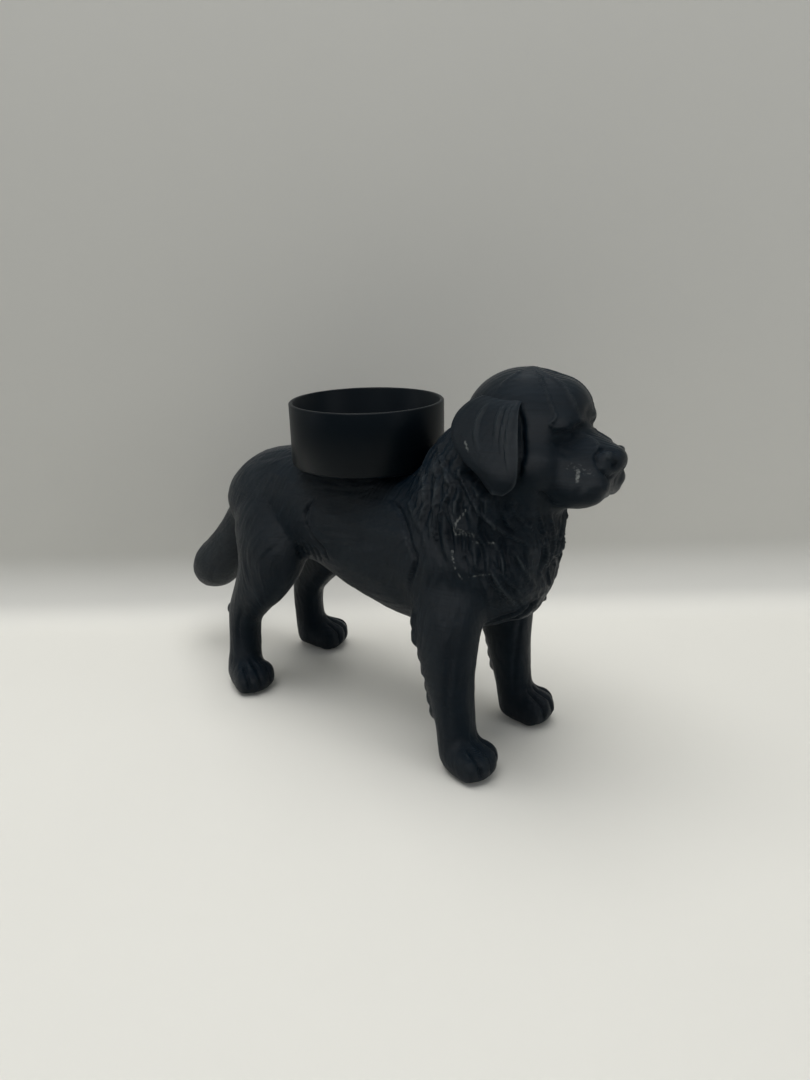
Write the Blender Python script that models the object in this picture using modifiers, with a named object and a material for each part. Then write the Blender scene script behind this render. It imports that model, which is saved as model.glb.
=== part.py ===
"""Golf ball stand in the shape of a standing retriever, with a round ball cup on its back.

The figurine is an organic body in one material, so it is shaped the way a sculptor would:
oval limbs and balls are pressed together, fused and smoothed, and the fused body is then
sawn into head, neck, torso, legs and tail. The ears are trimmed to lie against the head,
and the cup is turned to exact size and let into the back.

Metres, +Z up, nose towards +X, the dog's left towards +Y. The origin lies on the ground
under the middle of the bounding box.
"""

import math

import bmesh
import bpy
import numpy as np
from mathutils import Euler, Matrix, Vector

MM = 0.001

# Driving dimensions
BALL_DIAMETER = 42.7 * MM
BALL_CLEARANCE = 0.65 * MM  # all round, between the ball and the cup's wall
CUP_WALL = 1.2 * MM
CUP_FLOOR = 1.6 * MM
CUP_HEIGHT = 18.5 * MM
CUP_BASE_HEIGHT = 83.0 * MM  # above the ground
CUP_CENTRE_X = -3.8 * MM
CUP_CHAMFER = 0.8 * MM  # round the cup's outer bottom edge
CUP_SEGMENTS = 96
SAW_GAP = 0.3 * MM  # between neighbouring sections

# Clay: how the body is fused
VOXEL = 0.9 * MM
SMOOTHING = 9
TRIANGLES = 7200  # of the fused body, before it is sawn
RING_POINTS = 20
RINGS_PER_STATION = 5

# Every limb is a row of stations: x, y, z of the middle, half depth, half width, in mm.
# Limbs with their y off the middle plane are mirrored.
TORSO = [
    (-60, 0, 60, 7, 8),
    (-56, 0, 61.5, 12, 12),
    (-49, 0, 63, 15.8, 15),
    (-39, 0, 65, 17.8, 16),
    (-27, 0, 66.2, 18, 17),
    (-14, 0, 64.8, 19.6, 17.5),
    (0, 0, 62.2, 22, 18.5),
    (14, 0, 60.8, 24, 19.5),
    (26, 0, 61, 24.5, 20.5),
    (38, 0, 63, 23, 20),
    (48, 0, 65, 19, 17),
    (56, 0, 67, 12, 11),
]
NECK = [
    (28, 0, 63, 20.5, 19.5),
    (37.5, 0, 76, 20.5, 19),
    (44, 0, 86.5, 19.2, 17.5),
    (48.5, 0, 95.5, 15.5, 15),
]
MUZZLE = [
    (56, 0, 92, 10, 11),
    (63, 0, 91, 9.6, 9.8),
    (70, 0, 90.3, 8.2, 8.2),
    (75, 0, 90, 6, 6.4),
]
TAIL = [
    (-54, 0, 62, 8, 8.5),
    (-60, 0, 54.5, 8, 8),
    (-67, 0, 45.5, 8.4, 7.8),
    (-75, 0, 37.4, 8.8, 7.8),
    (-82.3, 0, 31.2, 8.8, 7.8),
    (-88, 0, 26.8, 6, 6),
]
FRONT_LEG = [
    (35, 13, 57, 13, 6.5),
    (35.3, 15, 47, 10.8, 7.4),
    (35.8, 16.2, 39, 9.3, 6.9),
    (36.6, 16.7, 30, 7.8, 6.4),
    (37.8, 16.7, 22, 6.5, 5.9),
    (39, 16.8, 14, 5.6, 5.9),
    (40, 17, 7, 5.4, 6),
    (40.4, 17.2, 2, 5.2, 5.8),
]
HIND_LEG = [
    (-42, 8, 67, 10.5, 7),
    (-39, 11, 61, 13.8, 8.5),
    (-36, 13.4, 52, 13.8, 8.5),
    (-38.5, 15, 42.5, 10.6, 7),
    (-43.5, 15.8, 34.5, 7.8, 5.9),
    (-48.2, 16, 27, 6, 5.4),
    (-49.6, 16.1, 20, 5.4, 5.3),
    (-49.8, 16.6, 12, 5.3, 5.5),
    (-50, 17.6, 6, 5.6, 5.8),
    (-50, 18, 2, 5.4, 5.8),
]
EAR = [
    (48.5, 12.6, 108.5, 4, 2.6),
    (48.6, 15.3, 105, 7.6, 3.2),
    (47.4, 16.8, 100, 9, 3.2),
    (47.8, 17.3, 95, 7.6, 3),
    (50.6, 17.2, 90, 4.6, 2.6),
    (52.6, 16.8, 86, 1.8, 1.6),
]

# Every ball: middle and half sizes, in mm. Those off the middle plane are mirrored.
BODY_BALLS = [
    ((50, 0, 99.4), (16.6, 14.8, 14.8)),  # skull
    ((58, 0, 104), (9.5, 9, 8.6)),  # forehead
    ((61.8, 5, 102), (5.2, 5, 4.6)),  # brow
    ((55.5, 8.5, 92), (9, 7, 8.5)),  # cheek
    ((66.5, 5, 86.5), (9, 5.4, 7)),  # hanging upper lip
    ((64, 0, 82.5), (8.5, 6, 4)),  # lower jaw
    ((74, 0, 93.2), (4, 4.6, 3.6)),  # nose
    ((49, 0, 73), (11.6, 14.5, 17)),  # mane over the breast
    ((49, 0, 56), (8, 12, 12)),  # breastbone
    ((-51, 16, 28), (3.4, 3.6, 5)),  # point of the hock
]

# Paws: x and y of the foot, and how many degrees the toes turn out
PAWS = [(39.4, 17.4, 4), (-49.4, 18.3, 17)]
TOES = ((-4.7, 7.4), (-1.7, 9.2), (1.7, 9.2), (4.7, 7.4))  # sideways and forward reach, mm

# Locks of hair behind the front legs: x, z
FEATHERS = [(29.6, 42), (30.8, 36), (32.5, 30), (34.3, 24.5), (36, 19.5)]

# Saw cuts, in mm: a point of the plane and the way it faces. A section lies behind all of
# its own planes. Those that face sideways are for the left legs.
GROUND = ((0, 0, 0), (0, 0, -1))
NAPE = ((48, 0, 91.5), (-0.72, 0, -0.69))
WITHERS = ((24, 0, 84), (-0.71, 0, -0.71))
DOCK = ((-61.5, 0, 55), (0.86, 0, 0.5))
TAIL_SIDES = [((0, 9.5, 0), (0, 1, 0)), ((0, -9.5, 0), (0, -1, 0))]
INNER_THIGH = ((0, 5.5, 0), (0, -1, 0))
ELBOW = ((35, 8, 39), (0, -0.66, 0.75))
ARMPIT = ((24.5, 0, 40), (-1, 0, 0))
STIFLE = ((-40, 7, 48), (0, -0.6, 0.8))
FLANK = ((-22.5, 0, 50), (1, 0, 0))
BUTTOCK = ((-57, 0, 50), (-1, 0, 0))

# The origin is under the middle of the bounding box, and the clay's under the paws
SHIFT_X = 6.7 * MM


def clear_scene():
    for item in list(bpy.data.objects):
        bpy.data.objects.remove(item)


def collection(name):
    made = bpy.data.collections.new(name)
    bpy.context.scene.collection.children.link(made)
    return made


def plastic(name, colour, roughness):
    made = bpy.data.materials.new(name)
    made.use_nodes = True
    shader = made.node_tree.nodes["Principled BSDF"]
    shader.inputs["Base Color"].default_value = (*colour, 1)
    shader.inputs["Roughness"].default_value = roughness
    return made


def place(name, form, home, helper=False):
    """Turns a bmesh into an object."""
    bmesh.ops.recalc_face_normals(form, faces=form.faces)
    bmesh.ops.triangulate(form, faces=form.faces)
    mesh = bpy.data.meshes.new(name)
    form.to_mesh(mesh)
    form.free()
    made = bpy.data.objects.new(name, mesh)
    home.objects.link(made)
    if helper:
        made.hide_render = True
        made.display_type = "WIRE"
    return made


def baked(thing):
    """The object's mesh after its modifiers, as a new bmesh."""
    form = bmesh.new()
    form.from_object(thing, bpy.context.evaluated_depsgraph_get())
    return form


def cut(thing, cutter, operation="DIFFERENCE"):
    made = thing.modifiers.new(cutter.name, "BOOLEAN")
    made.operation = operation
    made.object = cutter
    made.solver = "EXACT"


def smooth_row(row, steps):
    """A Catmull-Rom curve through the row's stations, with so many steps between two."""
    row = np.array(row, float)
    ends = np.vstack([2 * row[0] - row[1], row, 2 * row[-1] - row[-2]])
    t = np.linspace(0, 1, steps, endpoint=False)[:, None]
    parts = []
    for a, b, c, d in zip(ends, ends[1:], ends[2:], ends[3:]):
        bend = 2 * a - 5 * b + 4 * c - d + t * (3 * (b - c) + d - a)
        parts.append(b + 0.5 * t * (c - a + t * bend))
    return np.vstack([*parts, row[-1:]])


def add_limb(clay, row, way=1, steps=RINGS_PER_STATION):
    """Lofts oval rings through the stations. Each ring stands square to the limb's run."""
    stations = smooth_row(row, steps) * [1, way, 1, 1, 1]
    runs = np.gradient(stations[:, :3], axis=0)
    turns = np.linspace(0, 2 * math.pi, RING_POINTS, endpoint=False)
    rings = []
    for (x, y, z, depth, width), run in zip(stations, runs):
        run = Vector(run).normalized()
        across = (Vector((0, 1, 0)) - run * run.y).normalized()
        down = run.cross(across)
        middle = Vector((x, y, z))
        ring = [middle + down * depth * math.cos(t) + across * width * math.sin(t) for t in turns]
        rings.append([clay.verts.new(corner * MM) for corner in ring])
    for one, two in zip(rings, rings[1:]):
        for i in range(RING_POINTS):
            j = (i + 1) % RING_POINTS
            clay.faces.new((one[i], one[j], two[j], two[i]))
    clay.faces.new(rings[0][::-1])
    clay.faces.new(rings[-1])


def add_ball(clay, middle, sizes, pitch=0.0, yaw=0.0):
    turn = Euler((0, math.radians(pitch), math.radians(yaw)))
    where = Matrix.LocRotScale(Vector(middle) * MM, turn, Vector(sizes) * MM)
    bmesh.ops.create_uvsphere(clay, u_segments=24, v_segments=16, radius=1, matrix=where)


def add_paw(clay, x, y, yaw, way):
    """A pad with four toes in front, turned out by yaw."""
    turn = Matrix.Rotation(math.radians(yaw * way), 3, "Z")
    foot = Vector((x, y * way, 0))
    add_ball(clay, foot + turn @ Vector((4.2, 0, 4.7)), (7.8, 6.8, 5.9), yaw=yaw * way)
    for side, reach in TOES:
        middle = foot + turn @ Vector((reach, side, 4.5))
        add_ball(clay, middle, (4, 2.3, 4.9), pitch=18, yaw=yaw * way + side * 1.5)


def model_body(home):
    """The whole body as one fused skin with flat soles, still uncut."""
    clay = bmesh.new()
    for row in (TORSO, NECK, MUZZLE, TAIL):
        add_limb(clay, row)
    for (x, y, z), sizes in BODY_BALLS:
        for way in (-1, 1) if y else (1,):
            add_ball(clay, (x, y * way, z), sizes)
    for way in (-1, 1):
        add_limb(clay, FRONT_LEG, way)
        add_limb(clay, HIND_LEG, way)
        for x, y, yaw in PAWS:
            add_paw(clay, x, y, yaw, way)
        for x, z in FEATHERS:
            add_ball(clay, (x, 16.7 * way, z), (4.2, 3.2, 4.6), pitch=-25)
    body = place("clay", clay, home, helper=True)
    fuse = body.modifiers.new("fuse", "REMESH")
    fuse.mode = "VOXEL"
    fuse.voxel_size = VOXEL
    calm = body.modifiers.new("calm", "SMOOTH")
    calm.factor = 0.5
    calm.iterations = SMOOTHING
    thin = body.modifiers.new("thin", "DECIMATE")
    thin.ratio = TRIANGLES / len(baked(body).faces) / 2
    return body


def model_cup(home):
    """Turned on its own axis: a round cup with a flat floor and a chamfered bottom edge."""
    inner = BALL_DIAMETER / 2 + BALL_CLEARANCE
    outer = inner + CUP_WALL
    base = CUP_BASE_HEIGHT
    profile = [
        (0, base),
        (outer - CUP_CHAMFER, base),
        (outer, base + CUP_CHAMFER),
        (outer, base + CUP_HEIGHT),
        (inner, base + CUP_HEIGHT),
        (inner, base + CUP_FLOOR),
        (0, base + CUP_FLOOR),
    ]
    form = bmesh.new()
    corners = [form.verts.new((r, 0, z)) for r, z in profile]
    edges = [form.edges.new(pair) for pair in zip(corners, corners[1:])]
    bmesh.ops.spin(
        form,
        geom=corners + edges,
        cent=(0, 0, 0),
        axis=(0, 0, 1),
        angle=2 * math.pi,
        steps=CUP_SEGMENTS,
        use_merge=True,
    )
    bmesh.ops.remove_doubles(form, verts=form.verts, dist=0.00001)
    bmesh.ops.translate(form, verts=form.verts, vec=(CUP_CENTRE_X, 0, 0))
    return place("ball_cup", form, home)


def swap_side(plane):
    """A left plane's twin on the right."""
    (x, y, z), (along, across, up) = plane
    return (x, -y, z), (along, -across, up)


def far_side(plane):
    """The plane facing the other way, for the neighbour that the saw leaves."""
    point, facing = plane
    turned = -Vector(facing).normalized()
    return Vector(point) - turned * SAW_GAP / MM, turned


def model_block(name, planes, home, grow=0.0):
    """A convex cutting block: a large cube, with everything in front of each plane cut away."""
    form = bmesh.new()
    bmesh.ops.create_cube(form, size=0.4)
    for point, facing in planes:
        facing = Vector(facing).normalized()
        made = bmesh.ops.bisect_plane(
            form,
            geom=form.verts[:] + form.edges[:] + form.faces[:],
            plane_co=Vector(point) * MM + facing * grow,
            plane_no=facing,
            clear_outer=True,
        )
        rim = [item for item in made["geom_cut"] if isinstance(item, bmesh.types.BMEdge)]
        bmesh.ops.edgeloop_fill(form, edges=rim)
    return place(name, form, home, helper=True)


def model_section(name, body, planes, home, helpers):
    """One piece sawn from the body, and the block that takes it and the saw's width away."""
    piece = place(name, baked(body), home)
    cut(piece, model_block(name + "_block", [GROUND, *planes], helpers), "INTERSECT")
    return piece, model_block(name + "_waste", planes, helpers, SAW_GAP)


def model_ear(name, way, body, home, helpers):
    """A flap trimmed so that it lies a saw's width off the side of the head."""
    form = bmesh.new()
    add_limb(form, EAR, way, steps=3)
    ear = place(name, form, home)
    swollen = place(name + "_skull", baked(body), helpers, helper=True)
    swell = swollen.modifiers.new("swell", "DISPLACE")
    swell.strength = SAW_GAP
    swell.mid_level = 0
    cut(ear, swollen)
    return ear


def model_cup_seat(home):
    """What the cup takes away from the back, a saw's width larger than the cup."""
    radius = BALL_DIAMETER / 2 + BALL_CLEARANCE + CUP_WALL + SAW_GAP
    top = Vector((CUP_CENTRE_X, 0, CUP_BASE_HEIGHT - SAW_GAP + CUP_HEIGHT))
    form = bmesh.new()
    bmesh.ops.create_cone(
        form,
        cap_ends=True,
        segments=CUP_SEGMENTS,
        radius1=radius,
        radius2=radius,
        depth=CUP_HEIGHT * 2,
        matrix=Matrix.Translation(top),
    )
    return place("cup_seat", form, home, helper=True)


def model_sections(body, home, helpers):
    seat = model_cup_seat(helpers)
    torso = place("torso", baked(body), home)
    neck, neck_waste = model_section("neck_mane", body, [WITHERS, far_side(NAPE)], home, helpers)
    cut(neck, seat)
    _, head_waste = model_section("head", body, [NAPE], home, helpers)
    _, tail_waste = model_section("tail", body, [DOCK, *TAIL_SIDES], home, helpers)
    wastes = [neck_waste, head_waste, tail_waste, seat]
    front = [INNER_THIGH, ELBOW, ARMPIT]
    hind = [INNER_THIGH, STIFLE, FLANK, BUTTOCK]
    for leg, planes in (("front_leg", front), ("hind_leg", hind)):
        _, waste = model_section(leg + "_left", body, planes, home, helpers)
        wastes.append(waste)
        planes = [swap_side(plane) for plane in planes]
        _, waste = model_section(leg + "_right", body, planes, home, helpers)
        wastes.append(waste)
    for waste in wastes:
        cut(torso, waste)


def main():
    clear_scene()
    home = collection("retriever_ball_stand")
    helpers = collection("helpers")
    body = model_body(helpers)
    model_sections(body, home, helpers)
    model_ear("ear_left", 1, body, home, helpers)
    model_ear("ear_right", -1, body, home, helpers)
    model_cup(home)
    print_plastic = plastic("black_plastic", (0.013, 0.015, 0.018), 0.5)
    cup_plastic = plastic("black_plastic_smooth", (0.011, 0.013, 0.016), 0.35)
    for piece in home.objects:
        piece.data.materials.clear()
        piece.data.materials.append(cup_plastic if piece.name == "ball_cup" else print_plastic)
    for thing in [*home.objects, *helpers.objects]:
        thing.location.x = SHIFT_X


main()
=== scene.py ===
"""Golf ball stand in the shape of a standing retriever, printed in black plastic.

Each section below makes one piece, or one group of like pieces, in the order in which
they are put together: the dog's skin, its fur, its sections, its ears, the ball cup, and
last the table and the lights that it is shown on.
"""

import math

import bmesh
import bpy
import numpy as np
from mathutils import Matrix, Vector
from mathutils.kdtree import KDTree


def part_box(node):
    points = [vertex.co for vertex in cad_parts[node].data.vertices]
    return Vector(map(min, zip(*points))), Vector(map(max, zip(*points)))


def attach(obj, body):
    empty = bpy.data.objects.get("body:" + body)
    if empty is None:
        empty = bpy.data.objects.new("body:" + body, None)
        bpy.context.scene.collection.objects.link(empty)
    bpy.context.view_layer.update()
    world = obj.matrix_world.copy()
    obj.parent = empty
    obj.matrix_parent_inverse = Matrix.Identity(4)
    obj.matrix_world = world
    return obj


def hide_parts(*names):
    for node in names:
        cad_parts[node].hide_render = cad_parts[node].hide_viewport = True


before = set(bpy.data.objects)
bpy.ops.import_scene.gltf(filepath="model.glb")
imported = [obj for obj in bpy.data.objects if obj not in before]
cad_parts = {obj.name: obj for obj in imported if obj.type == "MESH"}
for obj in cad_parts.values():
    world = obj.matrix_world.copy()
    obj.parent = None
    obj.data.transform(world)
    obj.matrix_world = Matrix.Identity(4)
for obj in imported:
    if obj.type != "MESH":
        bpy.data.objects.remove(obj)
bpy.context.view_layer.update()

# THE PRINTED DOG. One continuous print in black plastic, from nose to tail. The solid
# sections are pressed together until the saw gaps between them close, the skin is smoothed,
# and the print's small swellings, such as nose and brows, are laid on before it is closed.
MM = 0.001
SECTIONS = (
    "torso",
    "neck_mane",
    "head",
    "tail",
    "front_leg_left",
    "front_leg_right",
    "hind_leg_left",
    "hind_leg_right",
)


def press_on(clay, middle, sizes, lean=0.0):
    """An oval pellet of clay, on both sides of the dog if it stands off the middle."""
    for side in (-1, 1) if middle[1] else (1,):
        at = Vector((middle[0], middle[1] * side, middle[2])) * MM
        turn = Matrix.Rotation(math.radians(lean), 3, "Y")
        where = Matrix.LocRotScale(at, turn.to_quaternion(), Vector(sizes) * MM)
        bmesh.ops.create_uvsphere(clay, u_segments=24, v_segments=16, radius=1, matrix=where)


def new_object(name, data):
    """An object with the given mesh, light or camera, put into the scene."""
    made = bpy.data.objects.new(name, data)
    bpy.context.collection.objects.link(made)
    return made


def baked(thing):
    """The mesh that the object's modifiers make."""
    depsgraph = bpy.context.evaluated_depsgraph_get()
    return bpy.data.meshes.new_from_object(thing.evaluated_get(depsgraph))


def vectors(owner, what):
    """A property of every point as rows of x, y and z."""
    flat = np.empty(len(owner) * 3)
    owner.foreach_get(what, flat)
    return flat.reshape(-1, 3)


def fused(clay, voxel, rounds):
    """The clay's outer skin as a new mesh, evenly meshed and smoothed."""
    mesh = bpy.data.meshes.new("clay")
    clay.to_mesh(mesh)
    clay.free()
    lump = new_object("clay", mesh)
    close = lump.modifiers.new("close", "REMESH")
    close.mode = "VOXEL"
    close.voxel_size = voxel * MM
    calm = lump.modifiers.new("calm", "SMOOTH")
    calm.factor = 0.5
    calm.iterations = rounds
    outside = baked(lump)
    bpy.data.objects.remove(lump)
    return outside


GROWTH = 0.36  # mm, over half of a saw gap, so that neighbours meet
core = bmesh.new()
for name in SECTIONS:
    section = bmesh.new()
    section.from_mesh(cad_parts[name].data)
    bmesh.ops.remove_doubles(section, verts=section.verts, dist=1e-6)
    section.normal_update()
    for corner in section.verts:
        corner.co += corner.normal * GROWTH * MM
    grown = bpy.data.meshes.new(name)
    section.to_mesh(grown)
    section.free()
    core.from_mesh(grown)
skin = fused(core, voxel=0.8, rounds=14)

swellings = bmesh.new()
swellings.from_mesh(skin)
press_on(swellings, (68.2, 5, 103), (4.6, 3.4, 2.4), lean=14)  # brow
press_on(swellings, (72, 3.6, 103.2), (2.2, 2.8, 1.6), lean=20)  # front of the brow
press_on(swellings, (71.4, 5.2, 98.8), (1.5, 1.5, 1.2))  # eyeball
press_on(swellings, (81, 0, 93.9), (3.1, 3.8, 2.6), lean=12)  # nose leather
press_on(swellings, (80.6, 3, 94.2), (2.1, 2.0, 2.1))  # nose wing
press_on(swellings, (75.5, 4.6, 87.9), (7.2, 4.9, 5.0), lean=6)  # hanging lip
press_on(swellings, (-47.3, 17, 26.6), (2.1, 2.0, 2.4), lean=30)  # point of the hock
TUFTS = ((34, 45), (34.2, 40), (36.4, 35), (37.4, 30.5), (38.7, 26), (39.3, 22), (40.3, 18))
for ahead, height in TUFTS:  # behind the front leg
    press_on(swellings, (ahead, 17, height), (2.7, 3.6, 4.6), lean=14)
skin = fused(swellings, voxel=0.45, rounds=3)
count = len(skin.vertices)
points = vectors(skin.vertices, "co") / MM
normals = vectors(skin.vertices, "normal")
lift = np.zeros(count)  # how far the knife work moves each point out or in, in mm

# THE FUR. It is sculpted into the print, not laid on it: deep wavy locks on the mane and
# breast, a fringe down the back of each front leg, and a fine nap that follows the way the
# hair lies everywhere else. The hair's lie is set at some places and eased in between.
LIE = [  # place on the dog's left, and which way the hair points there
    ((38, 8, 100), (-0.5, 0.5, -0.7)),
    ((33, 14, 86), (-0.8, 0.3, -0.6)),
    ((26, 14, 77), (-0.6, 0.2, -0.8)),
    ((44, 17, 88), (-0.45, 0.1, -1)),
    ((50, 17, 78), (0.1, 0, -1)),
    ((40, 19, 72), (-0.25, 0, -1)),
    ((48, 19, 64), (0.05, 0, -1)),
    ((58, 14, 76), (0.6, -0.4, -0.8)),
    ((62, 11, 70), (0.5, -0.6, -0.8)),
    ((66, 3, 70), (0, -0.2, -1)),
    ((62, 8, 56), (-0.1, -0.4, -1)),
    ((66, 5, 84), (0, 0, -1)),
    ((40, 20, 55), (-0.2, 0, -1)),
    ((20, 18, 66), (-0.8, 0, -0.5)),
    ((0, 17, 64), (-0.9, 0, -0.35)),
    ((0, 0, 84), (-1, 0, 0)),
    ((-20, 16, 70), (-0.6, 0, -0.7)),
    ((-33, 14, 66), (-0.35, 0, -1)),
    ((-30, 18, 45), (-0.2, 0, -1)),
    ((-45, 0, 78), (-1, 0, -0.5)),
    ((-55, 6, 62), (-0.4, 0, -1)),
    ((-70, 0, 45), (-0.7, 0, -0.7)),
    ((20, 10, 40), (-1, 0, 0.1)),
    ((42, 17, 35), (-0.1, 0, -1)),
    ((42, 17, 12), (0.1, 0, -1)),
    ((-42, 16, 25), (0, 0, -1)),
    ((66, 0, 108), (-0.8, 0, 0.3)),
]
LIE_REACH = 9.0
chance = np.random.default_rng(7)


def ease(value, low, high):
    """0 below low, 1 above high, and a smooth climb between them."""
    t = np.clip((value - low) / (high - low), 0, 1)
    return t * t * (3 - 2 * t)


def on_both_sides(vector, side):
    """The vector once for every point, mirrored for the points on the dog's right."""
    x, y, z = vector
    return np.hstack([np.full_like(side, x), side * y, np.full_like(side, z)])


def lie_of_hair(at, facing):
    """Which way the hair points at each place, flat to the skin."""
    side = np.sign(at[:, 1:2])
    total = np.zeros_like(at)
    for place, way in LIE:
        gap = at - on_both_sides(place, side)
        near = np.exp(-(gap**2).sum(1, keepdims=True) / (2 * LIE_REACH**2)) + 1e-9
        total += near * on_both_sides(way, side)
    total -= facing * (total * facing).sum(1, keepdims=True)
    return total / (np.linalg.norm(total, axis=1, keepdims=True) + 1e-9)


GRAIN_CELLS = 48
GRAIN = chance.random((GRAIN_CELLS, GRAIN_CELLS, GRAIN_CELLS))


def mottle(at, size):
    """Smooth random values from 0 to 1, in lumps of the given size."""
    whole = np.floor(at / size).astype(int)
    part = at / size - whole
    part = part * part * (3 - 2 * part)
    value = np.zeros(len(at))
    for corner in np.ndindex(2, 2, 2):
        share = np.prod(np.where(corner, part, 1 - part), axis=1)
        i, j, k = ((whole + corner) % GRAIN_CELLS).T
        value += share * GRAIN[i, j, k]
    return value


def strands(at, lie, size, length):
    """Random values drawn out along the hair, so that they form strands."""
    steps = np.linspace(-length / 2, length / 2, 9)
    return sum(mottle(at + lie * step, size) for step in steps) / len(steps)


x, y, z = points.T
out = np.abs(y)
on_head = 0.72 * (x - 54.7) + 0.69 * (z - 91.5)  # mm in front of the neck's end
past_withers = 0.71 * (x - 30.7) + 0.71 * (z - 84)  # mm in front of the neck's root
mane = ease(past_withers, -9, 2) * ease(-on_head, -1, 3) * ease(z, 40, 52)
mane *= 1 - 0.85 * ease(x, 28, 38) * ease(-x, -58, -50) * ease(-z, -69, -61)
fringe = ease(-x, -41.5, -38.5) * ease(x, 24, 28) * ease(z, 12, 16)
fringe *= ease(-z, -50, -44) * ease(out, 8, 12)
coat = 0.3 + 0.15 * ease(-on_head, -1, 3) * ease(z, 30, 50)
coat += 0.12 * ease(-x, 40, 60) * ease(z, 50, 60)
coat *= 1 - 0.85 * ease(on_head, 0, 3)
lie = lie_of_hair(points, normals)
swirl = (mottle(points, 11.0) - 0.5)[:, None] * 1.3
lie = lie + np.cross(normals, lie) * swirl
lie /= np.linalg.norm(lie, axis=1, keepdims=True)

nap = strands(points, lie, 0.75, 5.0) - 0.5
coarse = strands(points, lie, 1.7, 10.0) - 0.5
lift += nap * (coat * 1.1 + mane * 0.5 + fringe * 0.25)
lift += coarse * (coat * 1.5 + mane * 1.0 + fringe * 0.3)

tree = KDTree(count)
for i, at in enumerate(points):
    tree.insert(at, i)
tree.balance()


LOCK_STEP = 0.4
LOCK_WAVE = 13
STRAND_WIDTH = 1.25


def follow_hair(start, length, bend, phase):
    """Steps along a wavy lock that starts at a place on the skin."""
    at, path = start, []
    for step in np.arange(0, length, LOCK_STEP):
        _, i, _ = tree.find(at)
        turn = bend * math.sin(phase + 2 * math.pi * step / LOCK_WAVE)
        way = lie[i] + np.cross(normals[i], lie[i]) * turn
        way /= np.linalg.norm(way)
        path.append((i, np.cross(normals[i], way)))
        at = points[i] * 0.5 + np.array(at) * 0.5 + way * LOCK_STEP
    return path


hair = np.zeros(count)  # the locks' rounded backs
comb = np.zeros(count)  # the strands along them
room = mane * (1 - 0.45 * ease(z, 86, 96)) * (1 - 0.68 * ease(x, 56, 64))
roots = np.empty((0, 3))
MOST_TRIES = 9000
for i in chance.permutation(np.flatnonzero(room > 0.2))[:MOST_TRIES]:
    spacing = 3.4 + 0.9 * float(ease(z[i], 84, 92))
    if len(roots) and np.linalg.norm(roots - points[i], axis=1).min() < spacing:
        continue
    roots = np.vstack([roots, points[i]])
    width = chance.uniform(1.2, 2.0)
    length = chance.uniform(12, 21) * (0.45 + 0.55 * mane[i])
    path = follow_hair(points[i], length, chance.uniform(0.2, 0.5), chance.uniform(0, 6))
    high = chance.uniform(0.75, 1.0)
    for step, (j, across) in enumerate(path):
        along = step / len(path)
        reach = width * min(1, 0.35 + along * 2.5) * (1 - along) ** 0.6 + 0.2
        height = room[j] * high * (0.35 + 0.65 * min(1, along * 3)) * (1 - 0.3 * along)
        for at, k, gap in tree.find_range(points[j], reach):
            rise = height * (1 - (gap / reach) ** 2)
            if rise > hair[k]:
                beside = across.dot(np.array(at) - points[j])
                hair[k] = rise
                comb[k] = height * math.cos(2 * math.pi * beside / STRAND_WIDTH)
lift += (hair - 0.45 * room) * 1.2 + comb * 0.12

# THE FACE, THE SKIN FOLDS AND THE TOES. The knife work on the same print: thin creases
# between the planes of the forehead, eyelids, nose and mouth, the folds of loose skin at
# shoulder, flank and elbow, and the grooves that part the toes.
PATH_STEP = 0.3


def smooth_path(stops):
    """A smooth curve through the stops, as a list of points."""
    stops = np.array(stops, float)
    ends = np.vstack([2 * stops[0] - stops[1], stops, 2 * stops[-1] - stops[-2]])
    path = []
    for a, b, c, d in zip(ends, ends[1:], ends[2:], ends[3:]):
        steps = max(2, int(np.linalg.norm(c - b) / PATH_STEP))
        for t in np.linspace(0, 1, steps, endpoint=False):
            bend = 2 * a - 5 * b + 4 * c - d + t * (3 * (b - c) + d - a)
            path.append(b + 0.5 * t * (c - a + t * bend))
    return [*path, stops[-1]]


def carve(stops, width, depth, sides=(-1, 1)):
    """A crease along the stops. A negative depth raises a ridge instead."""
    for side in sides:
        pull = {}
        path = smooth_path(stops)
        for step, at in enumerate(path):
            at = np.array([at[0], at[1] * side, at[2]])
            _, i, _ = tree.find(at)
            along = step / max(1, len(path) - 1)
            strength = min(1, 4 * along + 0.2, 4 * (1 - along) + 0.2)
            for _, j, gap in tree.find_range(points[i], width * 2.6):
                pull[j] = max(pull.get(j, 0), strength * math.exp(-((gap / width) ** 2)))
        for j, share in pull.items():
            lift[j] -= share * depth


def dent(middle, radius, depth, sides=(-1, 1)):
    """A round hollow, or a swelling if its depth is negative."""
    for side in sides if middle[1] else (1,):
        at = np.array([middle[0], middle[1] * side, middle[2]])
        for _, j, gap in tree.find_range(at, radius * 2.2):
            lift[j] -= depth * math.exp(-((gap / radius) ** 2))


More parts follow.
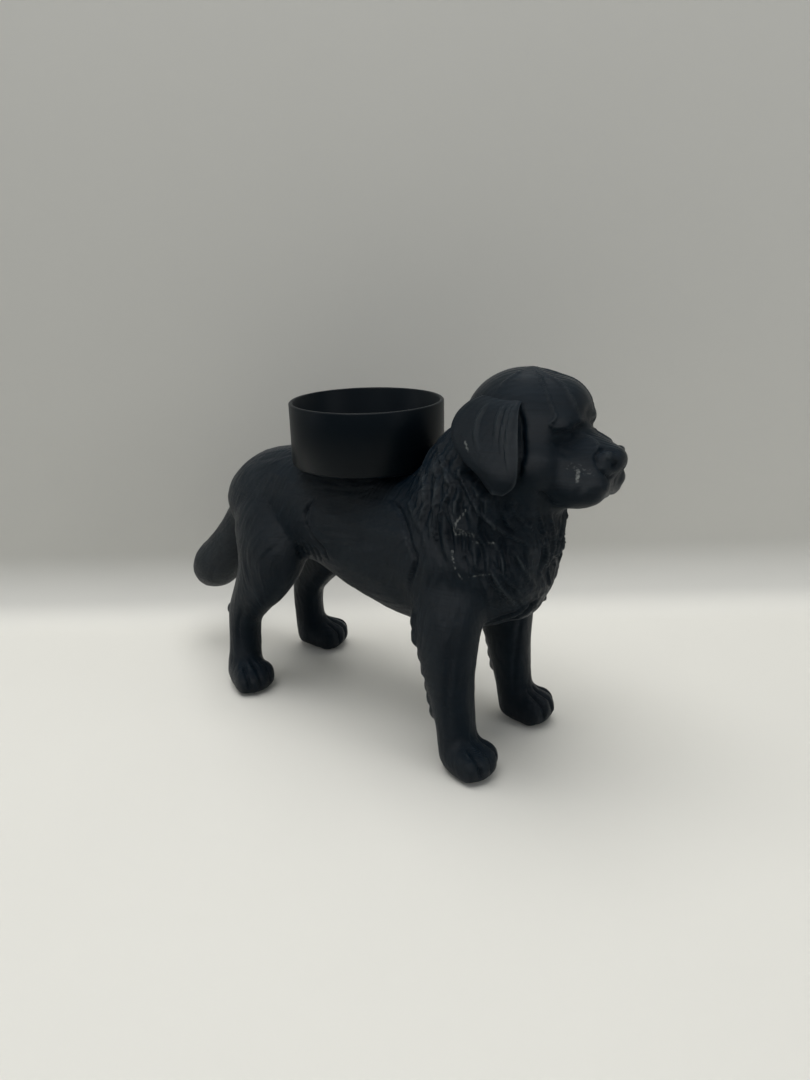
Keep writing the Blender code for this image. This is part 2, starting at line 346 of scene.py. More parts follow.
# long locks on the neck and breast: a ridge between two fine grooves
LONG_LOCKS = (
    [(49.5, 17, 91), (47, 16.7, 89.1), (48.7, 17.5, 85.8), (50.7, 17.7, 83.2), (53.2, 17.3, 79.6)],
    [(38.4, 12.2, 92.3), (41.8, 15.9, 88.4), (44.8, 17.5, 84.9), (43.6, 18.2, 80.9),
     (44.7, 18.4, 79.2)],
    [(46.3, 17.5, 85.4), (47.5, 17.9, 83.2), (46.8, 18.3, 80.6), (47.4, 18.3, 78)],
    [(50.7, 17.6, 83.8), (53.9, 17.1, 78.8), (56.8, 15.4, 76.2), (60.1, 13.2, 73.4),
     (63.1, 10.7, 71.4)],
    [(60.8, 14, 83.4), (61.3, 13.2, 80.4), (62.8, 11.1, 76.8), (64.6, 8.4, 74.4)],
    [(58.7, 15, 83.3), (58.5, 15, 80.4), (59.8, 13.6, 77), (62, 11.6, 74.6)],
    [(66, 9, 79.6), (66.8, 6.4, 74.1), (66.5, 4.4, 69), (65, 3, 63)],
    [(67, 4.4, 78), (66.9, 2, 71), (65.8, 0.8, 65), (63.6, 0.6, 59.6)],
    [(56.9, 14.3, 70.7), (58.4, 14.2, 66.5), (58.8, 14, 63)],
    [(60.9, 12.3, 68.5), (63, 10.4, 63.6), (63.4, 8.6, 60)],
    [(56.4, 16, 63.4), (57.6, 15.2, 60.6), (59, 13.3, 57.2), (59.8, 10.7, 53.5)],
    [(64.8, 8.6, 74.3), (66.1, 5.1, 69.4), (65.4, 3.4, 65), (64, 4.6, 60)],
    [(62.4, 2, 52.6), (60.8, 5.2, 48.9), (57.6, 7, 46.4), (53.4, 9.4, 43.6)],
    [(61.6, 6, 51.4), (58.6, 8.4, 48), (54.6, 10.6, 44.6)],
    [(36.5, 10.6, 94.4), (38.6, 14.4, 88), (40.4, 16.6, 83), (39.4, 17.6, 78)],
    [(34, 9, 90.6), (35, 13.6, 84), (37, 16.4, 79), (35.6, 17.6, 74)],
)
for stops in LONG_LOCKS:
    carve(stops, 1.35, 0.7)
    carve(stops, 0.66, -1.3)
# hollows behind the ear's tip and in front of its front edge
carve([(48.4, 17, 92), (51, 17.2, 88.9), (54.8, 17, 86.6), (59, 16.4, 84.6)], 1.5, 2.3)
ear_front = [(61, 12.6, 107), (62.8, 14.6, 103), (63.6, 15.8, 97), (63.2, 16.2, 91)]
carve([*ear_front, (62, 16.4, 87.6)], 1.0, 1.3)
# forehead
brow = [(58.8, 2.4, 113.8), (61.5, 3.6, 112.8), (65.9, 7.2, 109.4), (69, 9, 105.4),
        (69.4, 9.5, 103.9)]
carve([*brow, (68.8, 10.1, 102.4)], 0.9, 0.2)
carve([*brow, (68.6, 10.2, 102.4), (70.8, 9.2, 101.9), (72.6, 7.6, 102.3)], 0.42, -0.5)
parting = [(59.4, 1.2, 113.8), (61.9, 1.8, 113.2), (67.5, 3.4, 111.4), (71.6, 4.6, 107.8)]
carve([*parting, (73.3, 4.8, 103.5)], 0.5, -0.4)
carve([(57.6, 3, 113.6), (55.6, 7.5, 112), (54, 11, 110)], 0.42, -0.4)
dent((58.4, 0, 114), 1.6, -0.4)
# notch under the brow, and the dip between the two brows
carve([(74, 1.8, 101.6), (73.6, 3.8, 101.6), (72.8, 6, 101.4)], 0.7, 0.6)
dent((74.2, 0, 104), 1.9, 0.7)
# eyes: socket, then upper and lower lid
dent((72.4, 5.6, 98.8), 2.2, 0.7)
carve([(69, 10, 100), (70.8, 8.6, 100.9), (72.4, 6.8, 100.6), (73.6, 5, 99.2)], 0.4, 0.45)
carve([(69.2, 9.8, 98.4), (71.2, 8.2, 97.2), (72.8, 6.4, 97.3), (73.6, 5, 98.2)], 0.4, 0.35)
carve([(70.4, 9.2, 96.4), (72, 8, 95), (73.6, 6.6, 95)], 0.6, 0.2)
# bridge of the nose, nose leather and nostrils
bridge = [(73.4, 4.6, 98.8), (74.3, 3.4, 99.4), (76.4, 3, 98.4), (78.3, 3.6, 97)]
carve([*bridge, (78.4, 4.8, 95.6)], 0.42, -0.4)
under_nose = [(78.6, 5.6, 95), (79.3, 6.3, 93.4), (80.6, 6, 91.4), (81.8, 4.2, 89.9)]
carve([*under_nose, (83, 2.4, 90.4)], 0.42, 0.5)
nostril = [(82.9, 2.2, 95.9), (81.2, 3, 97), (79.6, 4.4, 96.6), (78.9, 5.6, 94.8)]
carve([*nostril, (79.8, 5.7, 92.8)], 0.42, 0.6)
dent((82.8, 3.4, 92.9), 0.8, 1.1)
dent((81.2, 4.2, 95), 0.9, -0.7)
carve([(84.4, 0, 92.4), (84, 0, 90), (83.2, 0, 87)], 0.45, 0.5, (1,))
# jaw, mouth and lips
dent((75, 5, 81), 6.5, 1.3)
carve([(82.4, 0.6, 83.2), (80, 5, 81.2), (76, 7.4, 80.4), (72, 7.6, 80)], 0.5, 0.6)
carve([(66.8, 10.9, 86.4), (67.1, 10.7, 85.3), (67.8, 9.7, 84.2), (69, 8.6, 82.4)], 0.6, 1.0)
carve([(68.4, 9.6, 85), (69.2, 9.4, 83.6), (71, 9.2, 82.4)], 0.42, -0.4)
carve([(76, 8.6, 93), (77.4, 8.2, 90), (76.6, 8.6, 87), (74.6, 8.8, 85)], 0.9, 0.2)
# shoulder, elbow, flank and groin
shoulder = [(22.5, 14.2, 76.9), (27.7, 16.5, 74.6), (31.2, 18.5, 70.9), (33.2, 19.6, 67.2)]
carve([*shoulder, (35.3, 20.1, 63.6), (33.7, 20.2, 58.7), (32, 20.4, 54)], 0.6, 0.95)
carve([(27, 14.5, 79), (32.5, 17, 75.5), (37, 19, 71), (39, 19.5, 66)], 0.9, -0.4)
dent((27, 18.2, 52), 4.5, 1.1)
flank = [(-6, 16, 73), (-8.4, 16.9, 69), (-8.3, 17.3, 65.7), (-6, 17.2, 61.8), (-2.1, 17.2, 58.6)]
carve([*flank, (-0.6, 16.5, 55)], 0.55, 0.95)
carve([(x + 1.3, y, z + 0.4) for x, y, z in flank], 0.5, -0.4)
carve([(-11, 16, 60), (-8.6, 16, 57.4), (-8.4, 15, 54), (-10, 13, 50.6)], 0.5, 0.7)
carve([(-6.6, 16, 58.5), (-5, 16, 55.6), (-5.6, 14.8, 52.4)], 0.5, 0.6)
carve([(-15.6, 14, 57), (-15.1, 13.9, 54), (-15.6, 13.6, 51.6)], 0.8, 1.0)
carve([(-12.8, 14.4, 57.6), (-12.4, 14.2, 54.6), (-12.9, 14, 52)], 0.6, 0.7)
for height in (7, 12, 17):
    dent((-50.6, 19, height), 4.5, 1.0, (1,))  # the left heel is slimmer
carve([(50, 13, 41), (57, 9, 44.6), (60.4, 6.6, 49), (63.4, 3, 53.4)], 0.6, 0.7)
carve([(53, 11, 44.6), (59, 7.6, 49.6), (62.6, 4.6, 54)], 0.5, -0.4)
# shins
carve([(47.4, 21.8, 42), (46.6, 21.8, 32), (46.2, 21.4, 23), (47, 21, 14)], 1.0, 0.5)
carve([(50.4, 12.6, 42), (49.6, 12.4, 31), (48.6, 12.2, 21), (48.8, 12.4, 13)], 1.0, 0.4)
carve([(-36.4, 20.6, 32), (-40.6, 21, 23), (-40.6, 21.2, 13)], 1.1, 0.45)
# toes: middle of the foot, and the way it points
for foot, turn in (((46.1, 17.4), 4), ((-42.7, 18.3), 17)):
    ahead = np.array([math.cos(math.radians(turn)), math.sin(math.radians(turn))])
    beside = np.array([-ahead[1], ahead[0]])
    for spread in (-3.5, 0.3, 4.1):
        stops = []
        for forward, height in ((6.2, 11.6), (9.2, 9.6), (11.8, 6.8), (12.8, 2.4)):
            flare = spread * (0.55 + 0.045 * forward)
            stops.append((*(np.array(foot) + ahead * forward + beside * flare), height))
        carve(stops, 0.5, 0.8)

finished = points + normals * lift[:, None]
finished[:, 2] = np.maximum(finished[:, 2], 0)  # the soles stand flat
skin.vertices.foreach_set("co", (finished * MM).ravel())
skin.update()
face = ease(on_head, 0, 3)
# painted highlight: how much paler each place is painted, as if it caught the light: the ridges,
# and the face less than the mane
painted_highlight = ease(lift + 0.12 * face, 0.2, 1.0 - 0.35 * face) * (1 - 0.4 * face)

# BLACK PRINT. Satin black plastic thread, laid down in level layers a quarter of a
# millimetre high. Each layer is a shade and a hair's breadth off the next. Knocks leave
# the plastic stretched and whitish, mostly on the edges of the mane and on the muzzle.
# The ridges of the fur and the ears' edges and pleats are painted paler, as a highlight.
def group(name, ins, outs):
    """An empty shader group with its sockets, and its input and output nodes."""
    made = bpy.data.node_groups.new(name, "ShaderNodeTree")
    for socket, kind, value in ins:
        item = made.interface.new_socket(socket, in_out="INPUT", socket_type=kind)
        if value is not None:
            item.default_value = value
    for socket, kind in outs:
        made.interface.new_socket(socket, in_out="OUTPUT", socket_type=kind)
    return made, made.nodes.new("NodeGroupInput"), made.nodes.new("NodeGroupOutput")


def node(tree_of, kind, links=(), **settings):
    """A node with its settings, and its inputs given as (input, socket or value)."""
    made = tree_of.nodes.new(kind)
    for name, value in settings.items():
        setattr(made, name, value)
    for name, value in links:
        if isinstance(value, bpy.types.NodeSocket):
            tree_of.links.new(value, made.inputs[name])
        else:
            made.inputs[name].default_value = value
    return made


def arithmetic(web, operation, a, b):
    """The socket that holds the result of a sum, a product or the like."""
    links = [(0, a), (1, b)]
    return node(web, "ShaderNodeMath", links, operation=operation).outputs[0]


def cloudy(web, at, scale, detail):
    """The socket of a cloudy pattern, finer as the scale goes up."""
    links = [("Vector", at), ("Scale", scale), ("Detail", detail)]
    return node(web, "ShaderNodeTexNoise", links).outputs["Fac"]


def rescaled(web, value, *limits, **settings):
    """The value moved to another range: from low and high, then to low and high."""
    links = [("Value", value), *zip(("From Min", "From Max", "To Min", "To Max"), limits)]
    return node(web, "ShaderNodeMapRange", links, **settings).outputs[0]


def colour_mix(web, share, first, second):
    """The socket of a colour between two others."""
    links = [("Factor", share), ("A", first), ("B", second)]
    return node(web, "ShaderNodeMix", links, data_type="RGBA").outputs["Result"]


LAYER_HEIGHT = 0.00025
layers, give, take = group(
    "print_layers",
    [
        ("Place", "NodeSocketVector", None),
        ("Layer Height", "NodeSocketFloat", LAYER_HEIGHT),
        ("Unevenness", "NodeSocketFloat", 0.5),
    ],
    [("Height", "NodeSocketFloat"), ("Shade", "NodeSocketFloat")],
)
parts = node(layers, "ShaderNodeSeparateXYZ", [(0, give.outputs["Place"])])
storey = arithmetic(layers, "DIVIDE", parts.outputs["Z"], give.outputs["Layer Height"])
turn = arithmetic(layers, "MULTIPLY", storey, 2 * math.pi)
bead = node(layers, "ShaderNodeMath", [(0, turn)], operation="SINE").outputs[0]
stretch = [(0, give.outputs["Place"]), (1, (60, 60, 1700))]
thin = node(layers, "ShaderNodeVectorMath", stretch, operation="MULTIPLY").outputs[0]
streak = cloudy(layers, thin, 1.0, 2.0)
even = rescaled(layers, bead, -1.0, 1.0)
share = [("Factor", give.outputs["Unevenness"]), ("A", even), ("B", streak)]
blend = node(layers, "ShaderNodeMix", share).outputs[0]
layers.links.new(blend, take.inputs["Height"])
layers.links.new(streak, take.inputs["Shade"])


def black_print(name, base, light, roughness, shine, layer_bump, uneven, knocks=True):
    """The plastic, darker between the layers, whitish where the piece was knocked, and paler where
    a highlight is painted on the ridges.
    """
    made = bpy.data.materials.new(name)
    made.use_nodes = True
    web = made.node_tree
    shader = web.nodes["Principled BSDF"]
    where = node(web, "ShaderNodeTexCoord").outputs["Object"]
    layered = node(web, "ShaderNodeGroup", node_tree=layers)
    web.links.new(where, layered.inputs["Place"])
    layered.inputs["Layer Height"].default_value = LAYER_HEIGHT
    layered.inputs["Unevenness"].default_value = uneven
    shade = layered.outputs["Shade"]
    tone = arithmetic(web, "MULTIPLY", cloudy(web, where, 90.0, 3.0), shade)
    finish = colour_mix(web, rescaled(web, tone, 0.12, 0.42), (*base, 1), (*light, 1))
    if knocks:
        # painted highlight: a paler colour on the ridges and on the ears' edges and pleats
        highlight_mask = node(web, "ShaderNodeAttribute", attribute_name="painted_highlight").outputs["Fac"]
        finish = colour_mix(web, highlight_mask, finish, (0.022, 0.029, 0.034, 1))
        scar = node(web, "ShaderNodeAttribute", attribute_name="knocked").outputs["Fac"]
        bite = arithmetic(web, "MULTIPLY", cloudy(web, where, 1400.0, 3.0), scar)
        finish = colour_mix(web, rescaled(web, bite, 0.33, 0.6), finish, (0.19, 0.2, 0.19, 1))
    web.links.new(finish, shader.inputs["Base Color"])
    swing = layer_bump * 0.12
    gloss = rescaled(web, shade, 0.0, 1.0, roughness - swing, roughness + swing)
    web.links.new(gloss, shader.inputs["Roughness"])
    shader.inputs["Specular IOR Level"].default_value = shine
    relief = [("Height", layered.outputs["Height"]), ("Strength", layer_bump), ("Distance", 0.0005)]
    bump = node(web, "ShaderNodeBump", relief)
    web.links.new(bump.outputs[0], shader.inputs["Normal"])
    return made


dog_plastic = black_print(
    "black_print",
    base=(0.001, 0.0048, 0.0092),
    light=(0.004, 0.0098, 0.0156),
    roughness=0.36,
    shine=0.16,
    layer_bump=0.6,
    uneven=0.6,
)
knocks = [  # stops along the scuff, its half width in mm, strength
    ([(49.7, 18, 79.7), (47.6, 18.4, 76.6), (46.6, 18.5, 73.8), (47.6, 18.4, 72.6)], 0.5, 1.0),
    ([(47.4, 18.4, 74.4), (49.6, 18, 73.4), (51.4, 17.5, 73.2)], 1.0, 0.75),
    ([(54.6, 15.6, 70.8), (56.2, 15, 71)], 0.5, 1.0),
    ([(50.6, 17.4, 71.4), (52.8, 17, 71)], 0.4, 0.8),
    ([(46.2, 18.9, 68), (46.8, 19.2, 65.6), (47.5, 19.2, 63.6), (48.9, 18.9, 60.8)], 0.45, 1.0),
    ([(49.8, 18.6, 61.2), (53, 17.6, 62), (56.2, 16.2, 62.7)], 0.4, 0.8),
    ([(76, 9, 91.8), (76.2, 9.4, 89)], 0.55, 1.0),
    ([(73.6, 9, 92.6), (76.6, 8.6, 92.4), (78.6, 7.6, 91)], 1.2, 0.62),
]
knocked = np.zeros(count)
for stops, reach, strength in knocks:
    for stop in smooth_path(stops):
        gap = np.linalg.norm(points - (stop[0], -stop[1], stop[2]), axis=1)
        knocked = np.maximum(knocked, strength * (1 - ease(gap, reach * 0.5, reach * 2)))

# THE SECTIONS. The print is parted where the solid is sawn, so that each section keeps its
# own name, but no line shows: neighbours share their edge and the skin's own normals. The
# parted ends are closed inside.
# the painted highlight and the scuffs travel with the skin as point attributes
for name, values in (("painted_highlight", painted_highlight), ("knocked", knocked)):
    layer = skin.attributes.new(name, "FLOAT", "POINT")
    layer.data.foreach_set("value", values)
layer = skin.attributes.new("facing", "FLOAT_VECTOR", "POINT")
layer.data.foreach_set("vector", vectors(skin.vertices, "normal").ravel())
parted = bmesh.new()
parted.from_mesh(skin)
INSIDE_OF_LEG = ((0, 5.4, 0), (0, 1, 0))
PARTINGS = {  # planes with the section in front of all of them
    "head": [((54.7, 0, 91.5), (0.72, 0, 0.69))],
    "neck_mane": [((30.7, 0, 84), (0.71, 0, 0.71))],
    "tail": [
        ((-55, 0, 55), (-0.86, 0, -0.5)),
        ((0, 9.5, 0), (0, -1, 0)),
        ((0, -9.5, 0), (0, 1, 0)),
    ],
    "front_leg": [INSIDE_OF_LEG, ((41.7, 8, 39), (0, 0.66, -0.75)), ((31, 0, 40), (1, 0, 0))],
    "hind_leg": [INSIDE_OF_LEG, ((-33.3, 7, 48), (0, 0.6, -0.8)), ((-15.6, 0, 50), (-1, 0, 0))],
}


def take_section(name, planes):
    """Cuts the section from what is left of the skin. Both sides of the cut are closed."""
    piece = parted.copy()
    for point, way in planes:
        for whole in (piece, parted):
            bmesh.ops.bisect_plane(
                whole,
                geom=whole.verts[:] + whole.edges[:] + whole.faces[:],
                plane_co=Vector(point) * MM,
                plane_no=Vector(way),
                dist=1e-7,
            )
    for whole, keep_inside in ((piece, True), (parted, False)):
        gone = []
        for face in whole.faces:
            middle = face.calc_center_median()
            ahead = [(middle - Vector(point) * MM).dot(Vector(way)) for point, way in planes]
            inside = min(ahead) > 0
            if inside != keep_inside:
                gone.append(face)
        bmesh.ops.delete(whole, geom=gone, context="FACES")
    finish_section(name, piece)


def finish_section(name, piece):
    """Closes the parted ends, and turns the section into an object that rides on the dog."""
    rims = [edge for edge in piece.edges if edge.is_boundary]
    bmesh.ops.holes_fill(piece, edges=rims, sides=0)
    bmesh.ops.triangulate(piece, faces=[face for face in piece.faces if len(face.verts) > 4])
    mesh = bpy.data.meshes.new(name + "_print")
    piece.to_mesh(mesh)
    piece.free()
    mesh.validate(clean_customdata=False)
    mesh.shade_smooth()
    facing = vectors(mesh.attributes["facing"].data, "vector")
    mesh.normals_split_custom_set_from_vertices(facing)
    mesh.attributes.remove(mesh.attributes["facing"])
    mesh.materials.append(dog_plastic)
    made = new_object(name + "_print", mesh)
    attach(made, "root")
    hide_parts(name)


for name in ("head", "neck_mane", "tail"):
    take_section(name, PARTINGS[name])
for side, sign in (("left", 1), ("right", -1)):
    for leg in ("front_leg", "hind_leg"):
        mirror = np.array([1, sign, 1])
        planes = [(mirror * point, mirror * way) for point, way in PARTINGS[leg]]
        take_section(f"{leg}_{side}", planes)
finish_section("torso", parted)

# THE EARS. Thin flaps that hang from the top of the skull, free along the back and the
# tip, with soft pleats near the front edge. They are part of the print.
EAR_FRONT = smooth_path([
    (62.7, 13.2, 108), (63.2, 15.9, 106.1), (64.2, 18, 100.5), (64.8, 18.8, 94.6),
    (64.8, 19, 91.1), (63.9, 18.8, 88.7), (60.8, 18.6, 86.3),
])
EAR_BACK = smooth_path([
    (51.4, 12.6, 108.4), (48.2, 13.6, 106.8), (45.3, 15, 103.6), (44.7, 16.5, 99.7),
    (46.9, 18, 96.4), (49.4, 18.6, 94), (51.3, 18.8, 92.7), (54.6, 18.8, 90.6),
    (56.7, 18.5, 88), (58.8, 18.4, 86),
])
PLEATS = (  # how near the front edge, height, width, how far down the flap it ends
    (0.92, 0.5, 0.022, 0.8),
    (0.83, 0.55, 0.024, 0.62),
    (0.72, 0.6, 0.026, 0.5),
    (0.46, 0.5, 0.026, 0.6),
)
ROWS, COLUMNS = 46, 60


def ear_point(t, u):
    """The place t down the flap and u from back to front, and how much painted highlight it gets.
    """
    f = np.array(EAR_FRONT[int(t * (len(EAR_FRONT) - 1))])
    b = np.array(EAR_BACK[int(t * (len(EAR_BACK) - 1))])
    at = b + (f - b) * u
    hang = ease(t, 0.04, 0.2)
    at[1] += 1.5 * math.sin(math.pi * u) * math.sin(math.pi * min(1, t * 0.8 + 0.1))
    at[1] += 0.6 * ease(t, 0.35, 0.9)
    at -= np.array([0.75, 1, 0.45]) * (1.9 - 0.7 * t)  # drawn in against the skull
    # painted highlight along the flap's front edge and its tip; the pleats' tops get it too, below
    highlight_amount = 0.8 * ease(u, 0.95, 1.0) * hang + 0.7 * ease(t, 0.94, 1.0)
    for pleat, rise, width, end in PLEATS:
        swerve = pleat + 0.03 * math.sin(5 * t + pleat * 9)
        fold = math.exp(-(((u - swerve) / width) ** 2))
        fold = fold * hang * float(ease(-t, -end, -end * 0.5))
        at[1] += rise * fold
        highlight_amount = max(highlight_amount, 0.6 * fold)
    at[1] -= 0.5 * ease(u, 0.95, 1.0) + 0.3 * ease(-u, -0.08, 0)
    return at, float(highlight_amount)


for side, sign in (("left", 1), ("right", -1)):
    flap = bmesh.new()
    # the flap's painted highlight, along its front edge, its tip and its pleats
    highlight_layer = flap.verts.layers.float.new("painted_highlight")
    scar = flap.verts.layers.float.new("knocked")
    grid = []
    for row in range(ROWS + 1):
        t = row / ROWS
        line = []
        for column in range(COLUMNS + 1):
            u = column / COLUMNS
            at, highlight_amount = ear_point(t, u)
            corner = flap.verts.new((at[0] * MM, at[1] * sign * MM, at[2] * MM))
            corner[highlight_layer] = highlight_amount
            if side == "right":
                off = ((u - 0.22 - 0.1 * t) / 0.05) ** 2
                corner[scar] = 0.9 * math.exp(-off - ((t - 0.5) / 0.1) ** 2)
            line.append(corner)
        grid.append(line)
    for one, two in zip(grid, grid[1:]):
        for a, b, c, d in zip(one, one[1:], two[1:], two):
            flap.faces.new((a, b, c, d))
    bmesh.ops.recalc_face_normals(flap, faces=flap.faces)
    if sum(face.normal.y for face in flap.faces) * sign < 0:
        bmesh.ops.reverse_faces(flap, faces=flap.faces[:])
    mesh = bpy.data.meshes.new("ear")
    flap.to_mesh(mesh)
    flap.free()
    ear = new_object(f"ear_{side}_print", mesh)
    wall = ear.modifiers.new("wall", "SOLIDIFY")
    wall.thickness = 2.5 * MM
    wall.offset = -0.32
    wall.use_even_offset = False
    round_off = ear.modifiers.new("round_off", "BEVEL")
    round_off.width = 0.5 * MM
    round_off.segments = 2
    round_off.limit_method = "ANGLE"
    soften = ear.modifiers.new("soften", "SUBSURF")
    soften.levels = soften.render_levels = 1
    ear.data = baked(ear)
    ear.modifiers.clear()
    ear.data.shade_smooth()
    ear.data.materials.append(dog_plastic)
    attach(ear, "root")
    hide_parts(f"ear_{side}")

# THE BALL CUP. A round thin-walled cup for a golf ball, printed upright with three passes
# of the nozzle, so its wall comes out smoother and darker than the fur.
low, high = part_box("ball_cup")
CUP = {
    "Outer Radius": (high[0] - low[0]) / 2,
    "Wall": 0.0012,
    "Height": high[2] - low[2],
    "Floor": 0.0016,
    "Edge": 0.0007,
}
lathe = bpy.data.node_groups.new("turned_cup", "GeometryNodeTree")
for socket in CUP:
    lathe.interface.new_socket(socket, in_out="INPUT", socket_type="NodeSocketFloat")
lathe.interface.new_socket("Plastic", in_out="INPUT", socket_type="NodeSocketMaterial")
lathe.interface.new_socket("Cup", in_out="OUTPUT", socket_type="NodeSocketGeometry")
give = lathe.nodes.new("NodeGroupInput")
take = lathe.nodes.new("NodeGroupOutput")


def plus(a, b):
    return arithmetic(lathe, "ADD", a, b)


def minus(a, b):
    return arithmetic(lathe, "SUBTRACT", a, b)


FACETS = 180
WELD = 0.00002
outside, wall, tall, floor, edge = (give.outputs[name] for name in CUP)
inside = minus(outside, wall)
rim_round = arithmetic(lathe, "MULTIPLY", wall, 0.25)
corners = [  # radius, height
    (0.0, 0.0),
    (minus(outside, edge), 0.0),
    (outside, edge),
    (outside, minus(tall, rim_round)),
    (minus(outside, rim_round), tall),
    (plus(inside, rim_round), tall),
    (inside, minus(tall, rim_round)),
    (inside, plus(floor, edge)),
    (minus(inside, edge), floor),
    (0.0, floor),
]
joined = lathe.nodes.new("GeometryNodeJoinGeometry")
for (r0, z0), (r1, z1) in zip(corners, corners[1:]):
    shape = [("Radius Bottom", r0), ("Radius Top", r1), ("Depth", minus(z1, z0))]
    shape.append(("Vertices", FACETS))
    ring = node(lathe, "GeometryNodeMeshCone", shape, fill_type="NONE")
    rise = node(lathe, "ShaderNodeCombineXYZ", [("Z", z0)])
    lifted = [("Geometry", ring.outputs[0]), ("Translation", rise.outputs[0])]
    raised = node(lathe, "GeometryNodeTransform", lifted)
    lathe.links.new(raised.outputs[0], joined.inputs[0])
touching = [("Geometry", joined.outputs[0]), ("Distance", WELD)]
welded = node(lathe, "GeometryNodeMergeByDistance", touching)
real = node(lathe, "GeometryNodeRealizeInstances", [(0, welded.outputs[0])])
coat_of = [(0, real.outputs[0]), ("Material", give.outputs["Plastic"])]
coated = node(lathe, "GeometryNodeSetMaterial", coat_of)
lathe.links.new(coated.outputs[0], take.inputs[0])

cup_plastic = black_print(
    "black_print_smooth",
    base=(0.0012, 0.0034, 0.0054),
    light=(0.0017, 0.0042, 0.0064),
    roughness=0.36,
    shine=0.1,
    layer_bump=0.1,
    uneven=0.3,
    knocks=False,
)
cup = new_object("ball_cup_print", bpy.data.meshes.new("cup"))
turning = cup.modifiers.new("turning", "NODES")
turning.node_group = lathe
for socket in lathe.interface.items_tree:
    if socket.in_out == "INPUT":
        turning[socket.identifier] = CUP.get(socket.name, cup_plastic)
cup.data = baked(cup)
cup.modifiers.clear()
shell = bmesh.new()
shell.from_mesh(cup.data)
bmesh.ops.translate(shell, verts=shell.verts, vec=((low[0] + high[0]) / 2, 0, low[2]))
bmesh.ops.recalc_face_normals(shell, faces=shell.faces)
shell.to_mesh(cup.data)
shell.free()
cup.data.shade_smooth()
cup.data.set_sharp_from_angle(angle=math.radians(50))
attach(cup, "root")
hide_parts("ball_cup")

# THE TABLE AND THE LIGHT. A pale table with a grey card standing behind the dog, a wide
# soft light overhead and two weaker ones, from the left and from the right. The card shows
# from the front only.
TABLE_COLOUR = (0.71, 0.695, 0.64)


def plain_paint(name, colour, one_sided=False):
    """Matt paint. The one-sided kind shows from the front only, and fades to the
    table's colour at its foot."""
    made = bpy.data.materials.new(name)
    made.use_nodes = True
    web = made.node_tree
    shader = web.nodes["Principled BSDF"]
    shader.inputs["Roughness"].default_value = 0.75
    place = node(web, "ShaderNodeTexCoord").outputs["Object"]
    dark, pale = ((*(part * by for part in colour), 1) for by in (0.97, 1.03))
    finish = colour_mix(web, cloudy(web, place, 6.0, 3.0), dark, pale)
    if one_sided:
        height = node(web, "ShaderNodeSeparateXYZ", [(0, place)]).outputs["Z"]
        climb = rescaled(web, height, 0.0003, 0.007, interpolation_type="SMOOTHSTEP")
        finish = colour_mix(web, climb, (*TABLE_COLOUR, 1), finish)
        clear = node(web, "ShaderNodeBsdfTransparent").outputs[0]
        behind = node(web, "ShaderNodeNewGeometry").outputs["Backfacing"]
        faces = [(0, behind), (1, shader.outputs[0]), (2, clear)]
        choice = node(web, "ShaderNodeMixShader", faces).outputs[0]
        web.links.new(choice, web.nodes["Material Output"].inputs["Surface"])
    web.links.new(finish, shader.inputs["Base Color"])
    return made


HEADING, PITCH, ROLL = math.radians(37.13), math.radians(19.79), math.radians(-1.33)
eye = Vector((154.4, -182.6, 141.8)) * MM
level = Vector((-math.sin(HEADING), math.cos(HEADING), 0))
aside = Vector((math.cos(HEADING), math.sin(HEADING), 0))

ground = bmesh.new()
bmesh.ops.create_grid(ground, x_segments=2, y_segments=2, size=3.0)
mesh = bpy.data.meshes.new("table")
ground.to_mesh(mesh)
ground.free()
mesh.materials.append(plain_paint("pale_table", TABLE_COLOUR))
table = new_object("table", mesh)
table.location.z = -0.0002

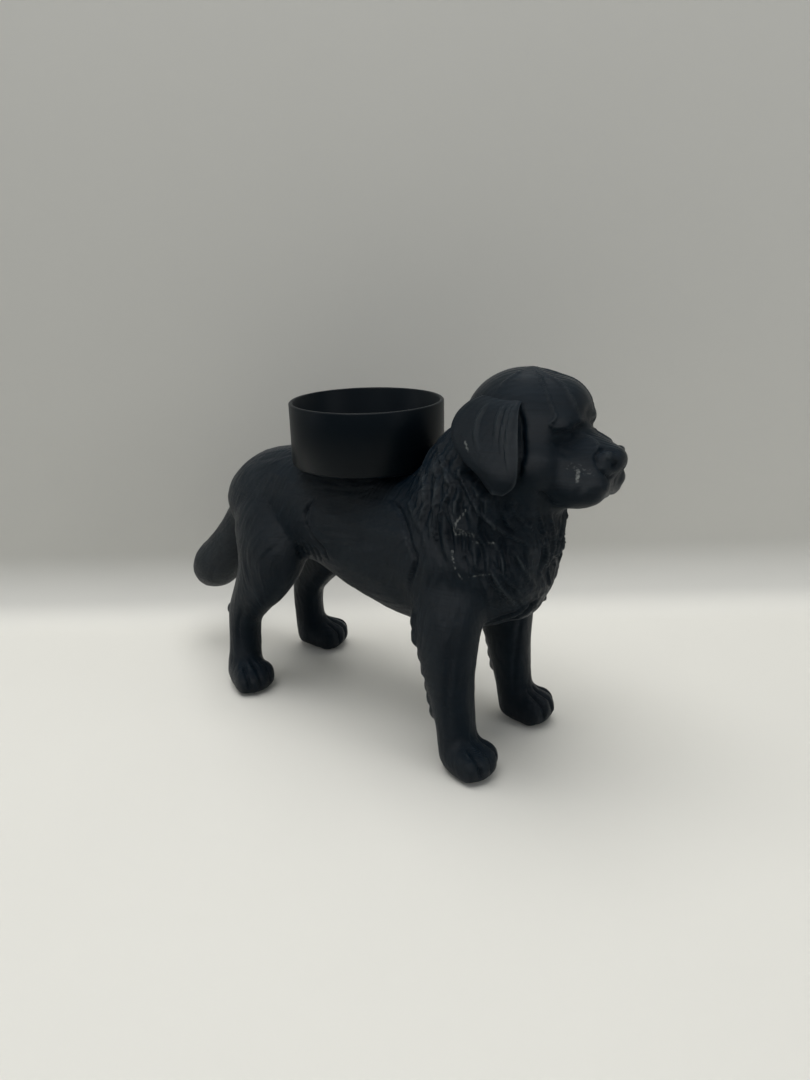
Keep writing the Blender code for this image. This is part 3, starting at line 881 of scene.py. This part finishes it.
CARD_AHEAD, CARD_SWEEP, CARD_HEIGHT, CARD_REACH = 0.292, 0.025, 1.2, 1.6
card = bmesh.new()
foot = Vector((eye.x, eye.y, 0)) + level * CARD_AHEAD
profile = []
for turn in np.linspace(0, math.pi / 2, 17):
    up = Vector((0, 0, CARD_SWEEP * (1 - math.cos(turn))))
    profile.append(foot + level * CARD_SWEEP * math.sin(turn) + up)
profile.append(profile[-1] + Vector((0, 0, CARD_HEIGHT)))
rows = [[card.verts.new(at + aside * by) for by in (-CARD_REACH, CARD_REACH)] for at in profile]
for one, two in zip(rows, rows[1:]):
    card.faces.new((one[0], one[1], two[1], two[0]))
mesh = bpy.data.meshes.new("card")
card.normal_update()
if card.faces[:][-1].normal.dot(level) > 0:
    bmesh.ops.reverse_faces(card, faces=card.faces[:])
card.to_mesh(mesh)
card.free()
mesh.shade_smooth()
mesh.materials.append(plain_paint("grey_card", (0.565, 0.555, 0.515), one_sided=True))
backdrop = new_object("card", mesh)
backdrop.visible_shadow = False

for name, at, aim, size, power in (
    ("overhead", (-0.03, -0.06, 0.74), (0, 0, 0.03), 0.6, 4.75),
    ("window", (-0.75, -0.45, 0.5), (0, 0, 0.06), 0.6, 0.8),
    ("right_fill", (0.8, 0.05, 0.35), (0, 0, 0.06), 0.35, 0.8),
):
    lamp = bpy.data.lights.new(name, "AREA")
    lamp.shape = "SQUARE"
    lamp.size = size
    lamp.energy = power
    light = new_object(name, lamp)
    light.location = at
    light.rotation_euler = (Vector(aim) - Vector(at)).to_track_quat("-Z", "Y").to_euler()
world = bpy.data.worlds.new("room")
world.use_nodes = True
glow = world.node_tree.nodes["Background"].inputs
glow["Color"].default_value = (0.85, 0.92, 1.0, 1)
glow["Strength"].default_value = 0.28
bpy.context.scene.world = world
bpy.context.scene.view_settings.view_transform = "Standard"

lens = bpy.data.cameras.new("camera")
lens.lens = 26.38
lens.clip_start = 0.01
camera = new_object("camera", lens)
ahead = level * math.cos(PITCH) - Vector((0, 0, math.sin(PITCH)))
upward = aside.cross(ahead)
right = aside * math.cos(ROLL) + upward * math.sin(ROLL)
upright = upward * math.cos(ROLL) - aside * math.sin(ROLL)
facing = Matrix((right, upright, -ahead)).transposed().to_4x4()
camera.matrix_world = Matrix.Translation(eye) @ facing
bpy.context.scene.camera = camera
